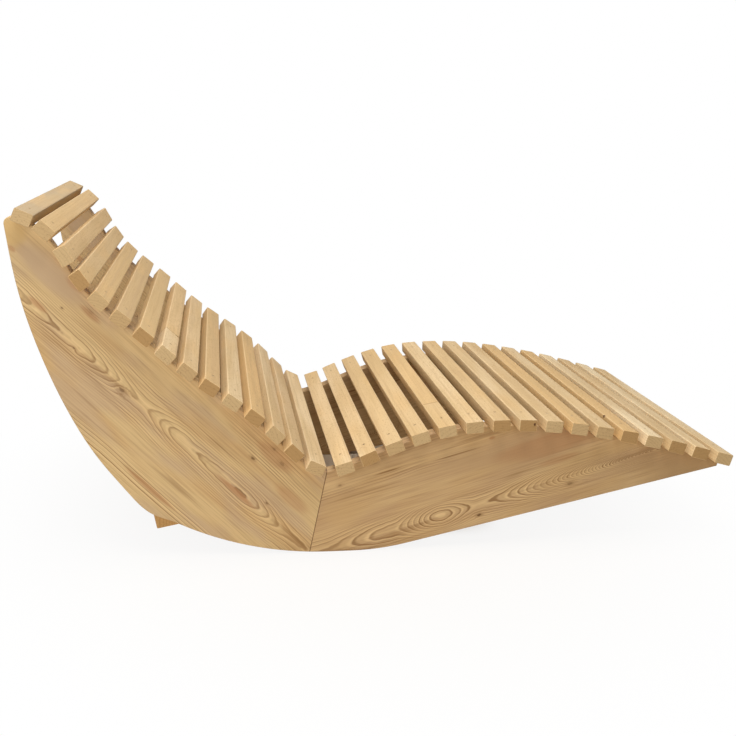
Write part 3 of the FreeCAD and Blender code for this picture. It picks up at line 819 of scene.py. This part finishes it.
FLOOR_SIZE = 14.0
FLOOR_PAINT = colour(221, 208, 187)
FLOOR_ROUGHNESS = 0.9
WHITE = (1, 1, 1, 1)
PAINT_ALONG = (0.36, 0.22)          # from the middle of the lounger, where the paint starts and is full
PAINT_NEAR_EDGE = (-0.3, -0.12)     # along Y, in the same way
PAINT_FAR_EDGE = (0.56, 0.46)
SHADE_REACH = (0.3, 1.3)            # from the middle of the lounger, where the shade is full and has gone
SHADE_WHITE = (0.88, 1.0)           # the share of white in it there

bpy.ops.object.select_all(action="DESELECT")
bpy.ops.mesh.primitive_plane_add(size=FLOOR_SIZE, location=(0, 0, 0))
floor = bpy.context.object
floor.name = "studio_floor"
floor_finish, tree = empty_material("studio floor")
seen = put(tree, "ShaderNodeTexCoord").outputs["Object"]
far = put(tree, "ShaderNodeVectorMath", {0: seen}, operation="LENGTH").outputs["Value"]
floor_axes = put(tree, "ShaderNodeSeparateXYZ", {0: seen}).outputs
painted = ramp(tree, sum_of(tree, "ABSOLUTE", floor_axes["X"]), *PAINT_ALONG)
painted = sum_of(tree, "MULTIPLY", painted, ramp(tree, floor_axes["Y"], *PAINT_NEAR_EDGE))
painted = sum_of(tree, "MULTIPLY", painted, ramp(tree, floor_axes["Y"], *PAINT_FAR_EDGE))
clear = ramp(tree, far, *SHADE_REACH, *SHADE_WHITE)
clear = sum_of(tree, "MULTIPLY", clear, sum_of(tree, "SUBTRACT", 1.0, painted))
camera_ray = put(tree, "ShaderNodeLightPath").outputs["Is Camera Ray"]
share = sum_of(tree, "MULTIPLY", clear, camera_ray)
paint = put(tree, "ShaderNodeBsdfPrincipled", {"Base Color": FLOOR_PAINT, "Roughness": FLOOR_ROUGHNESS})
white = put(tree, "ShaderNodeEmission", {"Color": WHITE, "Strength": 1.0})
mixed = put(tree, "ShaderNodeMixShader", {0: share, 1: paint.outputs[0], 2: white.outputs[0]})
put(tree, "ShaderNodeOutputMaterial", {"Surface": mixed.outputs[0]})
floor.data.materials.append(floor_finish)

ROOM_COLOUR = (1.0, 0.99, 0.985, 1)
ROOM_STRENGTH = 0.24

world = bpy.data.worlds.new("studio")
bpy.context.scene.world = world
world.use_nodes = True
tree = world.node_tree
tree.nodes.clear()
room = put(tree, "ShaderNodeBackground", {"Color": ROOM_COLOUR, "Strength": ROOM_STRENGTH})
white = put(tree, "ShaderNodeBackground", {"Color": WHITE, "Strength": 1.0})
ray = put(tree, "ShaderNodeLightPath").outputs
plain = sum_of(tree, "MAXIMUM", ray["Is Glossy Ray"], ray["Is Transmission Ray"])
plain = sum_of(tree, "MAXIMUM", ray["Is Camera Ray"], plain)
mixed = put(tree, "ShaderNodeMixShader", {0: plain, 1: room.outputs[0], 2: white.outputs[0]})
put(tree, "ShaderNodeOutputWorld", {"Surface": mixed.outputs[0]})

LAMP_AIM = (0.0, 0.0, 0.3)          # the middle of the lounger


def soft_lamp(name, place, size, power):
    """A round lamp at a place, as wide as its size, aimed at the lounger."""
    lamp = bpy.data.lights.new(name, "AREA")
    lamp.shape = "DISK"
    lamp.size = size
    lamp.energy = power
    holder = bpy.data.objects.new(name, lamp)
    bpy.context.scene.collection.objects.link(holder)
    holder.location = place
    holder.rotation_euler = (Vector(LAMP_AIM) - Vector(place)).to_track_quat("-Z", "Y").to_euler()


soft_lamp("lamp above", place=(-0.4, -0.9, 3.8), size=2.6, power=124)
soft_lamp("lamp in front", place=(-3.2, -4.4, 2.2), size=3.0, power=145)


# Camera
# Placed by the corners of the slats in the photograph: in front of the near panel, a little
# towards the head, looking down at the seat. In its rest pose the lounger leans a degree further
# back than in the photograph, and the camera leans with it.

CAMERA_PLACE = (-0.4311, -2.48, 1.1151)
CAMERA_DOWN = 0.2276            # radians below level
CAMERA_TO_FOOT = 0.112          # radians from straight across, towards the foot
LOUNGER_LEAN = math.radians(1)
IMAGE_SIZE = 736                # pixels wide and high
FOCAL_PIXELS = 900
LENS_CENTRE = 318               # pixels from the left and from the top
SENSOR = 36.0                   # millimetres wide

lens = bpy.data.cameras.new("camera")
lens.sensor_width = SENSOR
lens.lens = SENSOR * FOCAL_PIXELS / IMAGE_SIZE
lens.shift_x = 0.5 - LENS_CENTRE / IMAGE_SIZE
lens.shift_y = LENS_CENTRE / IMAGE_SIZE - 0.5
camera = bpy.data.objects.new("camera", lens)
bpy.context.scene.collection.objects.link(camera)
turn = Matrix.Rotation(-LOUNGER_LEAN, 4, "Y")
turn = turn @ Matrix.Rotation(-CAMERA_TO_FOOT, 4, "Z") @ Matrix.Rotation(math.pi / 2 - CAMERA_DOWN, 4, "X")
camera.matrix_world = Matrix.Translation(CAMERA_PLACE) @ turn
bpy.context.scene.camera = camera
bpy.context.scene.view_settings.view_transform = "Standard"
